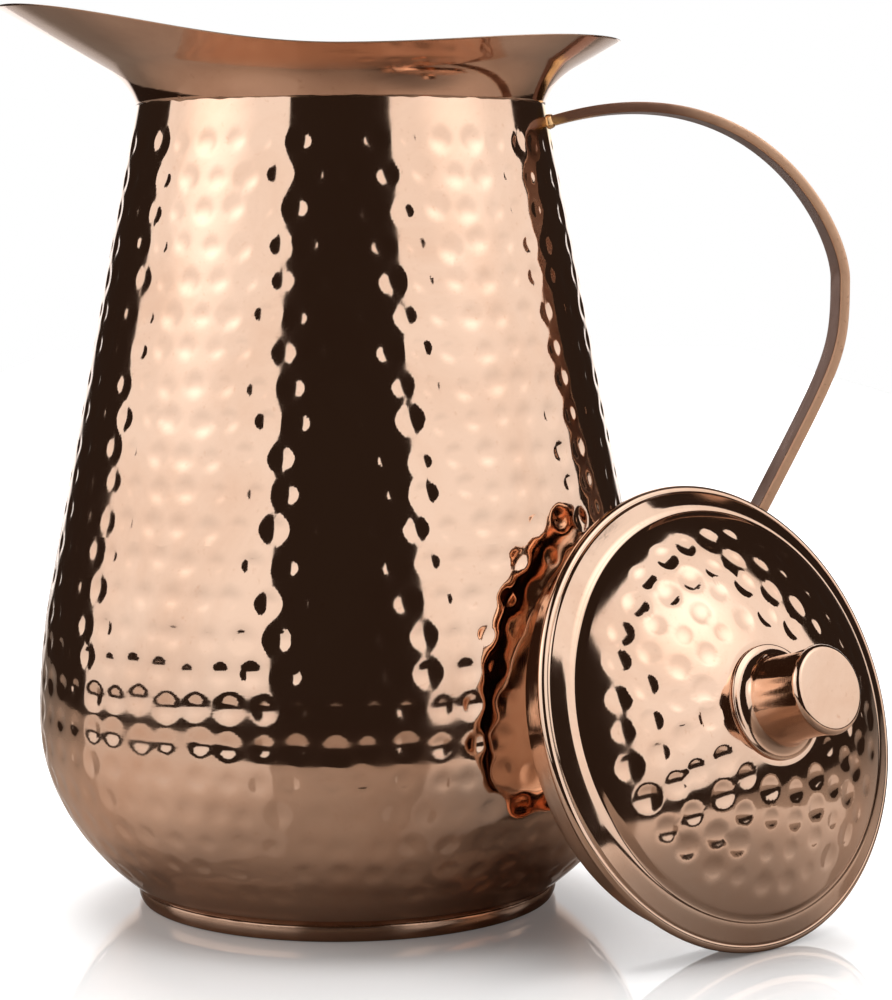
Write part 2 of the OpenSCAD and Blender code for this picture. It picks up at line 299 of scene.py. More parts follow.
def metal(name, colours, rough, tarnish, mop, stretch=(1, 1, 1), turn=None):
    """Polished metal. colours and rough are for clean and tarnished metal, tarnish is how strong its
    clouds and freckles are, and mop its drawn lines, along stretch, and waves. turn sets the
    pattern square to a leaning piece."""
    material = bpy.data.materials.new(name)
    material.use_nodes = True
    tree = material.node_tree
    shader = tree.nodes["Principled BSDF"]
    shader.inputs["Metallic"].default_value = 1.0
    place = tree.nodes.new("ShaderNodeTexCoord").outputs["Object"]
    if turn is not None:
        square = tree.nodes.new("ShaderNodeMapping")
        square.inputs["Location"].default_value = turn.translation
        square.inputs["Rotation"].default_value = turn.to_euler()
        fill(tree, place, square.inputs["Vector"])
        place = square.outputs["Vector"]
    dulling = tree.nodes.new("ShaderNodeGroup")
    dulling.node_tree = tarnish_group
    polish = tree.nodes.new("ShaderNodeGroup")
    polish.node_tree = polish_group
    for group, values in (
        (dulling, {"Vector": place, "Clouds": tarnish[0], "Freckles": tarnish[1]}),
        (polish, {"Vector": place, "Stretch": stretch, "Lines": mop[0], "Waves": mop[1]}),
    ):
        for label, value in values.items():
            fill(tree, value, group.inputs[label])
    mask = dulling.outputs["Mask"]
    clean, tarnished = colours
    fill(tree, blend(tree, (*clean, 1), (*tarnished, 1), mask), shader.inputs["Base Color"])
    fill(tree, spread(tree, mask, 0, 1, *rough), shader.inputs["Roughness"])
    bump = tree.nodes.new("ShaderNodeBump")
    bump.inputs["Strength"].default_value = 1.0
    bump.inputs["Distance"].default_value = 0.0001
    fill(tree, polish.outputs["Height"], bump.inputs["Height"])
    fill(tree, bump.outputs["Normal"], shader.inputs["Normal"])
    return material


def over_colour(material, colour, mask):
    """Lays a colour over a material's own where mask is one."""
    tree = material.node_tree
    base = tree.nodes["Principled BSDF"].inputs["Base Color"]
    fill(tree, blend(tree, base.links[0].from_socket, (*colour, 1), mask), base)


def gilded(material, reach):
    """Where the filler at the upper end of the strap has run out over the copper and stained it gold."""
    tree = material.node_tree
    place = tree.nodes.new("ShaderNodeTexCoord").outputs["Object"]
    near = vectors(tree, "ADD", place, (-0.0512, 0, -0.1921))
    near = vectors(tree, "MULTIPLY", near, (0.5, 0.27, 1))
    apart = vectors(tree, "LENGTH", near, output="Value")
    ragged = sums(tree, "MULTIPLY_ADD", noise(tree, place, 260, 2), 0.003, apart)
    over_colour(material, (0.97, 0.60, 0.22), spread(tree, ragged, reach, reach + 0.0018, 1, 0))


sheet = 0.0012
shell_low, shell_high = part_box("body_shell")
foot_h = shell_low[2]
neck_z = shell_high[2]
belly_r = (shell_high[0] - shell_low[0]) / 2
belly_z = 0.0465
shoulder_r = 0.170
under_rx = 0.082
under_rz = 0.060
neck_r = 0.0503
mark_first = 0.0103  # first row of marks, below the neck
mark_pitch = 0.00815
mark_r = 0.0028
mark_depth = 0.00031
row_draw = 0.000011  # how far a row of blows draws the sheet in
columns = 640
cone_lean = math.atan2(neck_z - belly_z, neck_r - belly_r + shoulder_r) - math.acos(
    shoulder_r / math.hypot(neck_r - belly_r + shoulder_r, neck_z - belly_z)
)


def body_point(z):
    """Outer radius of the body at height z, and the outward normal there as (across, up)."""
    if z < belly_z:
        s = min(1.0, (belly_z - z) / under_rz)
        c = math.sqrt(1 - s * s)
        size = math.hypot(c / under_rx, s / under_rz)
        return belly_r - under_rx * (1 - c), (c / under_rx / size, -s / under_rz / size)
    if z < belly_z + shoulder_r * math.sin(cone_lean):
        up = (z - belly_z) / shoulder_r
        across = math.sqrt(1 - up * up)
        return belly_r - shoulder_r * (1 - across), (across, up)
    return neck_r + (neck_z - z) * math.tan(cone_lean), (math.cos(cone_lean), math.sin(cone_lean))


def add_piece(name, points, faces):
    mesh = bpy.data.meshes.new(name)
    mesh.from_pydata(points, [], faces)
    mesh.shade_smooth()
    piece = bpy.data.objects.new(name, mesh)
    bpy.context.collection.objects.link(piece)
    return piece


def grid_faces(rows, around, closed):
    """Quads between rows of points that each run right round. closed joins the last row to the first."""
    count = rows if closed else rows - 1
    here = np.arange(count)[:, None] * around + np.arange(around)
    over = (np.arange(count)[:, None] + 1) % rows * around + np.arange(around)
    turn = np.roll(np.arange(around), -1)
    return np.stack([here, here[:, turn], over[:, turn], over], -1).reshape(-1, 4).tolist()


def lathe(name, outline, around, closed=True):
    """A surface turned about Z from (radius, height) points. closed joins the outline's ends."""
    outline = np.array(outline, float)
    angle = np.linspace(0, 2 * math.pi, around, endpoint=False)
    points = np.empty((len(outline), around, 3))
    points[..., 0] = outline[:, 0:1] * np.cos(angle)
    points[..., 1] = outline[:, 0:1] * np.sin(angle)
    points[..., 2] = outline[:, 1:2]
    return add_piece(name, points.reshape(-1, 3), grid_faces(len(outline), around, closed))


def outward(piece, merge=1e-7):
    """Merges doubles and turns every face outward."""
    shape = bmesh.new()
    shape.from_mesh(piece.data)
    bmesh.ops.remove_doubles(shape, verts=shape.verts, dist=merge)
    bmesh.ops.recalc_face_normals(shape, faces=shape.faces)
    shape.to_mesh(piece.data)
    shape.free()
    return piece


def hand_over(piece, body, slot, *nodes):
    """Puts a finished piece in the place of its CAD nodes."""
    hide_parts(*nodes)
    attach(piece, body)


def make_hammer_tree():
    """Presses a shallow round hollow into a sheet at every point of the marks object."""
    tree = bpy.data.node_groups.new("hammer_marks", "GeometryNodeTree")
    tree.is_modifier = True
    tree.interface.new_socket("Geometry", in_out="INPUT", socket_type="NodeSocketGeometry")
    tree.interface.new_socket("Marks", in_out="INPUT", socket_type="NodeSocketObject")
    for label in ("Radius", "Depth", "Gather", "Uneven"):
        tree.interface.new_socket(label, in_out="INPUT", socket_type="NodeSocketFloat")
    tree.interface.new_socket("Seed", in_out="INPUT", socket_type="NodeSocketInt")
    tree.interface.new_socket("Finish", in_out="INPUT", socket_type="NodeSocketMaterial")
    tree.interface.new_socket("Geometry", in_out="OUTPUT", socket_type="NodeSocketGeometry")
    nodes = tree.nodes
    given = nodes.new("NodeGroupInput").outputs
    marks = nodes.new("GeometryNodeObjectInfo")
    fill(tree, given["Marks"], marks.inputs["Object"])

    def near_mark():
        near = nodes.new("GeometryNodeProximity")
        near.target_element = "POINTS"
        fill(tree, marks.outputs["Geometry"], near.inputs["Target"])
        return near.outputs

    def stored(label, kind):
        value = nodes.new("GeometryNodeInputNamedAttribute")
        value.data_type = kind
        value.inputs["Name"].default_value = label
        return value.outputs["Attribute"]

    def shift(geometry, offset):
        move = nodes.new("GeometryNodeSetPosition")
        fill(tree, geometry, move.inputs["Geometry"])
        fill(tree, offset, move.inputs["Offset"])
        return move.outputs["Geometry"]

    # The sheet's points are first drawn towards each mark, so that the hollows are finely divided
    struck = stored("struck", "FLOAT")
    near = near_mark()
    reach = sums(tree, "DIVIDE", near["Distance"], given["Radius"])
    pull = spread(tree, reach, 0.9, 1.45, 1.0, 0.0, "SMOOTHSTEP")
    pull = sums(tree, "MULTIPLY", sums(tree, "MULTIPLY", pull, given["Gather"]), struck)
    here = nodes.new("GeometryNodeInputPosition").outputs["Position"]
    towards = vectors(tree, "SUBTRACT", near["Position"], here)
    drawn = shift(given["Geometry"], vectors(tree, "SCALE", towards, scale=pull))

    # Then each point sinks along the sheet's normal, deepest at the middle of its mark
    nearest = nodes.new("GeometryNodeSampleNearest")
    fill(tree, marks.outputs["Geometry"], nearest.inputs["Geometry"])
    chance = nodes.new("FunctionNodeRandomValue")
    fill(tree, nearest.outputs["Index"], chance.inputs["ID"])
    fill(tree, given["Seed"], chance.inputs["Seed"])
    blow = sums(tree, "MULTIPLY_ADD", sums(tree, "SUBTRACT", chance.outputs[1], 0.5), given["Uneven"], 1.0)
    wide = sums(tree, "MULTIPLY", given["Radius"], sums(tree, "SQRT", blow))
    reach = sums(tree, "DIVIDE", near_mark()["Distance"], wide)
    hollow = sums(tree, "SUBTRACT", 1.0, sums(tree, "MULTIPLY", reach, reach))
    hollow = sums(tree, "SMOOTH_MAX", hollow, 0.0, 0.07)
    sink = sums(tree, "MULTIPLY", sums(tree, "MULTIPLY", hollow, given["Depth"]), blow)
    sink = sums(tree, "MULTIPLY", sums(tree, "MULTIPLY", sink, struck), -1.0)
    pressed = shift(drawn, vectors(tree, "SCALE", stored("away", "FLOAT_VECTOR"), scale=sink))
    real = nodes.new("GeometryNodeRealizeInstances")
    fill(tree, pressed, real.inputs["Geometry"])
    finish = nodes.new("GeometryNodeSetMaterial")
    fill(tree, real.outputs["Geometry"], finish.inputs["Geometry"])
    fill(tree, given["Finish"], finish.inputs["Material"])
    fill(tree, finish.outputs["Geometry"], nodes.new("NodeGroupOutput").inputs["Geometry"])
    return tree


hammer_tree = make_hammer_tree()


def hammer(piece, marks, struck, away, finish, **values):
    """Strikes marks into a sheet. struck is how hard each of its points may be hit, from 0 to 1,
    and away is the sheet's normal there."""
    strength = piece.data.attributes.new("struck", "FLOAT", "POINT")
    strength.data.foreach_set("value", np.float32(struck).ravel())
    normals = piece.data.attributes.new("away", "FLOAT_VECTOR", "POINT")
    normals.data.foreach_set("vector", np.float32(away).ravel())
    dots = bpy.data.objects.new("marks", bpy.data.meshes.new("marks"))
    dots.data.from_pydata(marks, [], [])
    bpy.context.collection.objects.link(dots)
    blows = piece.modifiers.new("hammer", "NODES")
    blows.node_group = hammer_tree
    values.update(Marks=dots, Finish=finish)
    for item in hammer_tree.interface.items_tree:
        if item.in_out == "INPUT" and item.name in values:
            blows[item.identifier] = values[item.name]
    made = bpy.data.meshes.new_from_object(piece.evaluated_get(bpy.context.evaluated_depsgraph_get()))
    piece.modifiers.remove(blows)
    piece.data = made
    made.shade_smooth()
    for label in ("struck", "away"):
        made.attributes.remove(made.attributes[label])
    bpy.data.objects.remove(dots)


def hammer_rows(pitch, runs, radius_at, point_at, dice):
    """Middles of the hammer marks: level rows, a whole number in each, none quite in line."""
    marks = []
    turn = 0.0
    for run in runs:
        count = max(6, round(2 * math.pi * radius_at(run) / pitch))
        step = 2 * math.pi / count
        turn += dice.uniform(-0.18, 0.18) * step
        for k in range(count):
            along = run + dice.normal(0, 0.05) * pitch
            marks.append(point_at(along, turn + step * (k + dice.normal(0, 0.06))))
    return marks


def make_body_shell():
    fine = np.linspace(foot_h, neck_z, 4000)
    radii = [body_point(z)[0] for z in fine]
    down = np.r_[0, np.cumsum(np.hypot(np.diff(fine), np.diff(radii)))]
    down = down[-1] - down  # distance from the neck, along the outline
    length = down[0]
    angle = np.linspace(0, 2 * math.pi, columns, endpoint=False)

    def height(run):
        return float(np.interp(-run, -down, fine))

    def point_at(run, angle):
        r = body_point(height(run))[0]
        return (r * math.cos(angle), r * math.sin(angle), height(run))

    rows = np.arange(mark_first, length - 0.008, mark_pitch)
    dice = np.random.default_rng(11)
    marks = hammer_rows(mark_pitch, rows, lambda run: body_point(height(run))[0], point_at, dice)
    finish = metal(
        "hammered_copper", copper, rough=(0.05, 0.20),
        tarnish=(0.55, 0.5), mop=(0.05, 0.35), stretch=(1, 1, 9),
    )
    gilded(finish, 0.0065)

    def band(name, start, end, outer_rows, inner_rows):
        """The shell between two distances from the neck, closed all round."""
        runs = np.linspace(end, start, outer_rows)
        outline = []
        struck = np.zeros((outer_rows + inner_rows, columns))
        away = np.zeros((outer_rows + inner_rows, columns, 3))
        for i, run in enumerate(runs):
            r, (across, up) = body_point(height(run))
            away[i] = np.c_[across * np.cos(angle), across * np.sin(angle), np.full(columns, up)]
            # Full blows on the cone and over the belly, lighter ones underneath, none at the very ends
            struck[i] = min(1, (length - run) / 0.006, run / 0.003)
            struck[i] *= min(1, 0.8 + max(0, height(run) - 0.012) / 0.2)
            # Each row of blows also draws the sheet in by a hair
            row = row_draw * (1 + math.cos(2 * math.pi * (run - mark_first) / mark_pitch)) * struck[i][0]
            outline.append((r - row * across, height(run) - row * up))
        for run in np.linspace(start, end, inner_rows):
            r, (across, up) = body_point(height(run))
            outline.append((r - sheet * across, min(neck_z, height(run) - sheet * up)))
        shell = lathe(name, outline, columns)
        blow = {"Radius": mark_r, "Depth": mark_depth, "Gather": 0.30, "Uneven": 0.6, "Seed": 3}
        hammer(shell, marks, struck, away, finish, **blow)
        shell.data.set_sharp_from_angle(angle=math.radians(50))
        hand_over(shell, "jug", "hammered_copper", "body_shell")

    # Made in two rings that meet between rows of marks, on the straight of the cone
    halfway = mark_first + 11.5 * mark_pitch
    band("hammered_cone", 0, halfway, 144, 4)
    band("hammered_belly", halfway, length, 134, 16)


make_body_shell()


# ---- Base ------------------------------------------------------------------------------------
# A flat disc of the same sheet, let into the lower edge of the shell and soldered. It keeps the
# satin skin of its pickling bath, because no mop reaches it.
def make_base():
    finish = metal(
        "satin_copper", ((0.84, 0.53, 0.38), (0.55, 0.30, 0.20)), rough=(0.28, 0.48),
        tarnish=(1.0, 1.0), mop=(0.4, 1.2),
    )
    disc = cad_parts["base_disc"]
    disc.data.materials.clear()
    disc.data.materials.append(finish)


make_base()


# ---- Foot ring --------------------------------------------------------------------------------
# A strip of copper rolled into a slightly tapered ring, its ends butted, brazed and filed flush.
# It is brazed on under the base, and its lower edge is rounded by years of standing.
foot_top_r = body_point(foot_h)[0]
foot_wall = 0.0016
foot_taper = 0.0009


def rounded(outline, radius, steps=5):
    """Rounds every corner of a closed outline of (radius, height) points."""
    made = []
    count = len(outline)
    for i in range(count):
        before, corner, after = (Vector(outline[(i + k) % count]) for k in (-1, 0, 1))
        a, b = (before - corner), (after - corner)
        cut = min(radius, 0.45 * a.length, 0.45 * b.length)
        start, end = corner + a.normalized() * cut, corner + b.normalized() * cut
        for k in range(steps + 1):
            t = k / steps
            made.append(tuple(start * (1 - t) ** 2 + corner * 2 * t * (1 - t) + end * t**2))
    return made


def make_foot_ring():
    top, low = foot_top_r, foot_top_r - foot_taper
    swell = ((low + top) / 2 + 0.0005, foot_h * 0.45)
    outline = [(low, 0), swell, (top - 0.0001, foot_h), (top - foot_wall, foot_h), (low - foot_wall, 0)]
    ring = lathe("foot_ring", rounded(outline, 0.0012), 360)
    # The filed joint at the back leaves a shallow dip across the strip
    for point in ring.data.vertices:
        off = math.atan2(point.co.x, point.co.y)
        dip = 0.0035 * math.exp(-((off / 0.03) ** 2))
        point.co.xy *= 1 - dip + 0.0006 * math.sin(5 * off) * (point.co.z / foot_h)
    ring.data.materials.append(
        metal(
            "ring_copper", ((0.70, 0.45, 0.32), (0.48, 0.27, 0.17)), rough=(0.17, 0.32),
            tarnish=(1.0, 1.0), mop=(0.3, 0.6), stretch=(1, 1, 24),
        )
    )
    outward(ring)
    hand_over(ring, "jug", "polished_copper", "foot_ring")


make_foot_ring()


# ---- Brazing at the foot and the neck -----------------------------------------------------------
# Filler drawn into each corner by the torch, and left dark with fire scale where no mop reaches.
# Its surface rises and falls slightly where the rod was fed in. It is golden only at the handle.
braze = 0.0016
braze_finish = metal(
    "braze_filler", ((0.93, 0.60, 0.30), (0.45, 0.22, 0.09)), rough=(0.16, 0.38),
    tarnish=(1.0, 1.0), mop=(1.0, 2.5),
)
seam_finish = metal(
    "fired_seam", ((0.40, 0.22, 0.13), (0.10, 0.05, 0.03)), rough=(0.22, 0.50),
    tarnish=(1.0, 1.0), mop=(1.0, 2.5),
)


def braze_bead(name, node, low, high, corner, ripple, seed):
    """A hollow fillet between two points of a corner, with feeding ripples round it."""
    low, high, corner = Vector(low), Vector(high), Vector(corner)
    steps = 8
    face = [low.lerp(high, k / steps) for k in range(steps + 1)]
    into = (corner - low.lerp(high, 0.5)) * 0.75
    outline = [tuple(p + into * (1 - (2 * k / steps - 1) ** 2)) for k, p in enumerate(face)]
    bead = lathe(name, outline + [tuple(corner)], 360)
    dice = np.random.default_rng(seed)
    waves = [(int(n), dice.uniform(0, 6.3)) for n in dice.integers(9, 70, 7)]
    for point in bead.data.vertices:
        angle = math.atan2(point.co.y, point.co.x)
        swell = sum(math.sin(n * angle + at) for n, at in waves) / len(waves)
        point.co.xy *= 1 - ripple * (0.5 + 0.5 * swell) / corner.x
    bead.data.materials.append(seam_finish)
    outward(bead)
    hand_over(bead, "jug", "braze", node)


def foot_side(z):
    return foot_top_r - foot_taper * (foot_h - z) / foot_h


foot_leg = braze * 0.6
braze_bead(
    "foot_brazing", "foot_braze", (foot_side(foot_h - foot_leg), foot_h - foot_leg),
    (body_point(foot_h + foot_leg)[0], foot_h + foot_leg), (foot_top_r, foot_h), 0.00012, 5,
)


# ---- Mouth ---------------------------------------------------------------------------------------
# A flared collar of the same sheet, spun smooth and cut to a rim that sweeps up into a pouring
# lip opposite the handle. Its collar laps inside the neck, and the cut rim is rounded over.
flare_from = math.radians(20)
flare_to = math.radians(61)
bend_r = 0.017
collar_h = 0.005
rim_low = 0.0114
spout_lift = 0.0129
spout_run = 0.100
tail_lift = 0.0038
tail_run = 0.075
collar_r = neck_r - sheet / math.cos(cone_lean) - 0.00005
rim_round = 5


def rim_height(x):
    lift, run = (spout_lift, spout_run) if x < 0 else (tail_lift, tail_run)
    return neck_z + rim_low + lift * (1 - math.cos(math.pi * min(1, abs(x) / run))) / 2


def flare_point(run, inset):
    """Radius and height on the flare at a distance along it from the neck, set in by inset."""
    bend = bend_r * (flare_to - flare_from)
    lean = flare_from + min(run, bend) / bend_r
    past = max(0.0, run - bend)
    r = neck_r + bend_r * (math.cos(flare_from) - math.cos(lean)) + past * math.sin(flare_to)
    z = neck_z + bend_r * (math.sin(lean) - math.sin(flare_from)) + past * math.cos(flare_to)
    return r - inset * math.cos(lean), z + inset * math.sin(lean)


def rim_run(angle, inset):
    """How far up the flare its rim is in the direction angle."""
    low, high = 0.0, 0.08
    for _ in range(40):
        run = (low + high) / 2
        r, z = flare_point(run, inset)
        low, high = (run, high) if z < rim_height(r * math.cos(angle)) else (low, run)
    return low


def make_mouth():
    around, rows = 480, 44
    columns_of_points = []
    for k in range(around):
        angle = 2 * math.pi * k / around
        outer_end = rim_run(angle, 0) - 0.0003
        inner_end = rim_run(angle, sheet) - 0.0004
        collar_z = neck_z - collar_h
        line = [(collar_r - sheet, collar_z), (collar_r, collar_z), (collar_r, neck_z - 0.0002)]
        line += [flare_point(outer_end * i / rows, 0) for i in range(rows + 1)]
        start, end = Vector(line[-1]), Vector(flare_point(inner_end, sheet))
        ahead = Vector(flare_point(outer_end + 0.001, 0)) - start
        ahead = ahead.normalized() * sheet * 0.42
        for i in range(1, rim_round):
            t = math.pi * i / rim_round
            line.append(tuple(start.lerp(end, (1 - math.cos(t)) / 2) + ahead * math.sin(t)))
        line += [flare_point(inner_end * i / rows, sheet) for i in range(rows, -1, -1)]
        line += [(collar_r - sheet, flare_point(0, sheet)[1] - 0.0003)]
        # The spinner's hand leaves the sheet very slightly wavy
        line = [
            (r + 0.00006 * math.sin(3 * angle + 160 * (z - neck_z)) * min(1, max(0, z - neck_z) / 0.004), z)
            for r, z in line
        ]
        columns_of_points.append([(r * math.cos(angle), r * math.sin(angle), z) for r, z in line])
    points = np.array(columns_of_points).transpose(1, 0, 2)
    mouth = add_piece("mouth_flare", points.reshape(-1, 3), grid_faces(points.shape[0], around, True))
    mouth.data.materials.append(
        metal(
            "spun_copper", ((0.73, 0.46, 0.325), (0.46, 0.25, 0.155)), rough=(0.045, 0.15),
            tarnish=(0.8, 0.8), mop=(0.12, 0.5), stretch=(1, 1, 14),
        )
    )
    mouth.data.materials.append(
        metal(
            "filed_rim", ((0.95, 0.74, 0.60), (0.42, 0.24, 0.16)), rough=(0.34, 0.55),
            tarnish=(0.6, 1.2), mop=(2.0, 2.5),
        )
    )
    # Only the cut rim is filed: it lies between the last rows of the two faces
    first = 3 + rows
    for face in mouth.data.polygons:
        row = min(face.vertices) // around
        face.material_index = int(first <= row < first + rim_round)
    outward(mouth)
    hand_over(mouth, "jug", "polished_copper", "mouth_flare")


make_mouth()
neck_corner = flare_point(bend_r * (flare_to - flare_from) * 2 / 18, 0)
braze_bead(
    "neck_brazing", "neck_braze", (neck_r + braze * math.tan(cone_lean), neck_z - braze), neck_corner,
    (neck_r, neck_z), 0.00014, 8,
)


# ---- Handle --------------------------------------------------------------------------------------
# A strap sheared from copper plate, bent cold in one sweep and buffed on its outer face only: the
# sheared edges keep their pits. Both ends are brazed to the body.
strap_w = 0.015
strap_t = 0.0025
edge_round = 0.0009
pit = 0.00004
root_z, tail_z = 0.1923, 0.038
root = (body_point(root_z)[0] - strap_t, root_z)
far = (0.1243, 0.1539)
tail = (body_point(tail_z)[0] - strap_t / 4, tail_z)
root_climb, tail_climb = math.radians(18.3), math.radians(64.2)


def strap_line(count):
    """Middle line of the strap: two smooth curves that meet where it reaches out farthest."""
    out, back = 0.056, 0.110  # how straight it leaves the neck and comes back to the belly
    leaving = (root[0] + out * math.cos(root_climb), root[1] + out * math.sin(root_climb))
    coming = (tail[0] + back * math.cos(tail_climb), tail[1] + back * math.sin(tail_climb))
    first = [root, leaving, (far[0], far[1] + 0.0134), far]
    last = [far, (far[0], far[1] - 0.0257), coming, tail]
    line = []
    for curve in (first, last):
        p = [np.array(point) for point in curve]
        for u in np.linspace(0, 1, 4000):
            v = 1 - u
            line.append(v**3 * p[0] + 3 * v**2 * u * p[1] + 3 * v * u * u * p[2] + u**3 * p[3])
    line = np.array(line)
    run = np.r_[0, np.cumsum(np.hypot(*np.diff(line, axis=0).T))]
    even = np.linspace(0, run[-1], count)
    return np.c_[np.interp(even, run, line[:, 0]), np.interp(even, run, line[:, 1])]


def fired(material):
    """The end that was in the flame is darker and smoother; the dark fades out along the strap."""
    tree = material.node_tree
    place = tree.nodes.new("ShaderNodeTexCoord").outputs["Object"]
    along = sums(tree, "MULTIPLY_ADD", noise(tree, place, 90, 3), 0.02, split(tree, place, "X"))
    mask = spread(tree, along, 0.082, 0.112, 1, 0, "SMOOTHSTEP")
    over_colour(material, (0.33, 0.17, 0.11), mask)
    rough = tree.nodes["Principled BSDF"].inputs["Roughness"]
    clean = rough.links[0].from_socket
    fill(tree, sums(tree, "MULTIPLY_ADD", mask, -0.08, clean), rough)


def make_handle():
    count = 420
    line = strap_line(count)
    slope = np.gradient(line, axis=0)
    slope /= np.linalg.norm(slope, axis=1)[:, None]
    across = np.c_[-slope[:, 1], slope[:, 0]]
    w, t = strap_w / 2, strap_t / 2
    section = rounded([(-w, -t), (w, -t), (w, t), (-w, t)], edge_round, 4)
    # Extra points across the faces, and along each sheared edge for its pits
    dense = []
    for i, here in enumerate(section):
        here, there = np.array(here), np.array(section[(i + 1) % len(section)])
        gap = math.dist(here, there)
        parts = 12 if gap > 0.005 else 5 if gap > 0.001 else 1
        dense += [tuple(here + (there - here) * k / parts) for k in range(parts)]
    dice = np.random.default_rng(21)
    pits = dice.normal(0, 1, (count, len(dense)))
    pits = (pits + np.roll(pits, 1, 0) + np.roll(pits, 1, 1)) / 3
    points = np.empty((count, len(dense), 3))
    for j, (side, thick) in enumerate(dense):
        on_edge = abs(side) > strap_w / 2 - 0.0002
        depth = pit * (np.clip(pits[:, j], -0.4, 1.6) + 1) if on_edge else 0.0
        side_now = side - math.copysign(1, side) * depth
        points[:, j, 0] = line[:, 0] + across[:, 0] * thick
        points[:, j, 1] = side_now
        points[:, j, 2] = line[:, 1] + across[:, 1] * thick
    points = points.reshape(-1, 3)
    # Both ends are fitted to the body: they stop half-way through its sheet
    for p in points:
        skin = body_point(min(neck_z, p[2]))[0] - sheet / 2
        r = math.hypot(p[0], p[1])
        if r < skin:
            p[0] = math.sqrt(skin * skin - p[1] * p[1])
    faces = grid_faces(count, len(dense), False)
    faces += [list(range(len(dense)))[::-1], [(count - 1) * len(dense) + k for k in range(len(dense))]]
    strap = add_piece("strap_handle", points, faces)
    outward(strap)
    face_finish = metal(
        "strap_copper", ((0.86, 0.57, 0.42), dull_copper), rough=(0.10, 0.26),
        tarnish=(1.0, 0.8), mop=(0.4, 1.0), stretch=(1, 14, 1),
    )
    inner_finish = metal(
        "strap_inside", ((0.40, 0.285, 0.24), (0.26, 0.16, 0.12)), rough=(0.26, 0.42),
        tarnish=(1.0, 0.8), mop=(0.8, 1.2), stretch=(1, 14, 1),
    )
    edge_finish = metal(
        "sheared_edge", ((1.0, 0.62, 0.40), (0.72, 0.38, 0.23)), rough=(0.46, 0.62),
        tarnish=(0.6, 1.6), mop=(1.2, 2.0),
    )
    inner_shader = inner_finish.node_tree.nodes["Principled BSDF"]
    inner_shader.inputs["Specular Tint"].default_value = (0.34, 0.28, 0.26, 1)
    edge_finish.node_tree.nodes["Principled BSDF"].inputs["Metallic"].default_value = 0.2
    for finish in (edge_finish, face_finish):
        fired(finish)
    gilded(edge_finish, 0.0030)
    gilded(face_finish, 0.0070)
    gilded(inner_finish, 0.0070)
    for finish in (face_finish, edge_finish, inner_finish):
        strap.data.materials.append(finish)
    # Buffed on the outside, where a hand reaches it, and left dull on the side towards the body
    for face in strap.data.polygons:
        inside = all(dense[k % len(dense)][1] < 0 for k in face.vertices)
        face.material_index = 1 if abs(face.normal.y) > 0.4 else 2 if inside else 0
    hand_over(strap, "jug", "strap_copper", "handle")


make_handle()


def make_strap_braze(name, node, at, turn, length, seed):
    """Collar of filler round one end of the strap: a soft lump, fitted to the body behind it."""
    half = np.array([length / 2, (strap_w + braze) / 2, (strap_t + braze) / 2])
    shape = bmesh.new()
    bmesh.ops.create_cube(shape, size=2)
    bmesh.ops.subdivide_edges(shape, edges=shape.edges, cuts=15, use_grid_fill=True)
    dice = np.random.default_rng(seed)
    waves = [(dice.normal(0, 900, 3), dice.uniform(0, 6.3)) for _ in range(9)]
    turning = Matrix.Rotation(-turn, 3, "Y")
    for point in shape.verts:
        unit = np.array(point.co)
        size = (np.abs(unit) ** 5).sum() ** 0.2
        local = unit / size * half * 0.985
        swell = sum(math.sin(float(local @ k) + start) for k, start in waves) / len(waves)
        local = local * (1 - 0.05 * (0.5 + 0.5 * swell))
        place = turning @ Vector(local) + Vector((at[0], 0, at[1]))
        skin = body_point(min(neck_z, max(foot_h, place.z)))[0] - sheet / 2
        if math.hypot(place.x, place.y) < skin:
            place.x = math.sqrt(skin * skin - place.y**2)
        point.co = place
    mesh = bpy.data.meshes.new(name)
    shape.to_mesh(mesh)
    shape.free()
    mesh.shade_smooth()
    lump = bpy.data.objects.new(name, mesh)
    bpy.context.collection.objects.link(lump)
    mesh.materials.append(braze_finish)
    hand_over(outward(lump), "jug", "braze", node)


make_strap_braze("upper_strap_brazing", "handle_braze_upper", root, root_climb, 2 * (strap_t + braze), 31)
make_strap_braze("lower_strap_brazing", "handle_braze_lower", tail, tail_climb, 4 * (strap_t + braze), 32)


# ---- Lid ------------------------------------------------------------------------------------------
# A disc of sheet raised to a low dome and planished in rings. Its edge is stepped down to a flat
# flange and wired: rolled over into a bead. The lid leans on the belly and stands on its bead.
lid_at = Vector((0.0878184, -0.0511115, 0.0529526))
lid_place = Matrix.Translation(lid_at) @ Matrix.Rotation(math.radians(-52.4), 4, "Z") @ Matrix.Rotation(
    math.radians(90 - 17.3), 4, "Y"
)
lid_square = lid_place.inverted()
lid_sheet = 0.0010
roll_r = 0.0013
roll_mid_r = 0.0541
step_r = 0.0486
flange_rise = 0.0039
step = 0.0013
dome_h = 0.0178
dome_r = 0.090
seat_r = 0.0145
hole_r = 0.00255


def lean(piece):
    """Moves a piece made in the lid's own frame to where the lid is."""
    piece.data.transform(lid_place)
    return outward(piece)


dome_edge = Vector((step_r - step, flange_rise + step))
seat_edge = Vector((seat_r, dome_h))
chord = seat_edge - dome_edge
dome_mid = (seat_edge + dome_edge) / 2 - math.sqrt(dome_r**2 - (chord.length / 2) ** 2) * Vector(
    (chord.y, -chord.x)
).normalized()


def dome_height(r):
    return dome_mid.y + math.sqrt(dome_r**2 - (r - dome_mid.x) ** 2)


